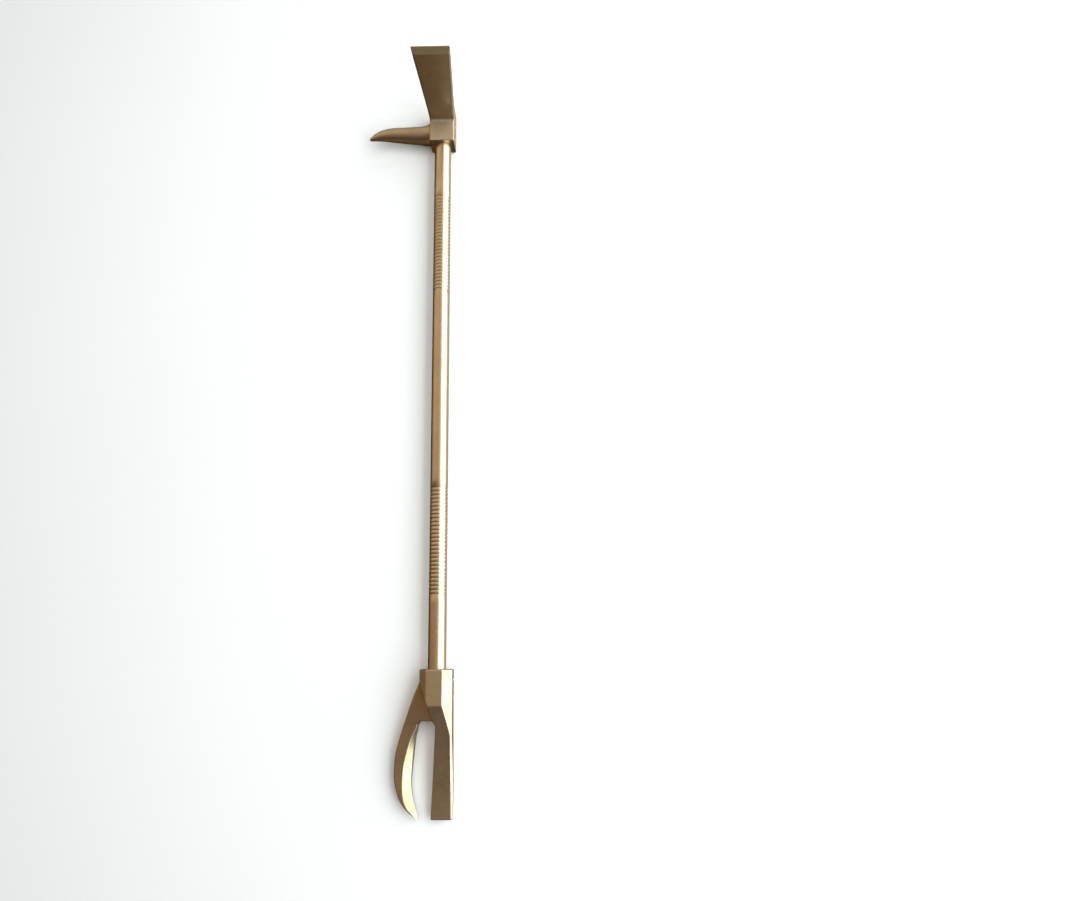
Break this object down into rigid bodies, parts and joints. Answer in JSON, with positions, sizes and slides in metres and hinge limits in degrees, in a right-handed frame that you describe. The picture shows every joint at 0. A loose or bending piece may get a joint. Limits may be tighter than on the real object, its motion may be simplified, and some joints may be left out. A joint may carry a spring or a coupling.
{
  "type": "halligan bar",
  "caption": "Forcible-entry bar: round ribbed shaft with an adze and pick at one end and a fork with one bowed cutting arm at the other.",
  "frame": {"origin": "on the bar's axis, halfway along the smooth length between the two ribbed grips", "axes": "+Y along the bar towards the head, +Z the way the adze points, -X the way the pick points, fork at -Y"},
  "size_m": [0.1444, 1.0668, 0.1896],
  "materials": {
    "shaft_plate": "satin nickel plate, polished along the bar",
    "forging_plate": "satin nickel plate over a forged surface, with the cutting bevel ground bright",
    "spring_steel": "dark phosphated spring steel"
  },
  "bodies": {
    "root": {"shaft": "shaft_plate", "head": "forging_plate", "claw": "forging_plate", "head_pin_near_outer": "spring_steel", "head_pin_near_inner": "spring_steel", "head_pin_far_outer": "spring_steel", "head_pin_far_inner": "spring_steel", "claw_pin_near_outer": "spring_steel", "claw_pin_near_inner": "spring_steel", "claw_pin_far_outer": "spring_steel", "claw_pin_far_inner": "spring_steel"}
  },
  "joints": []
}
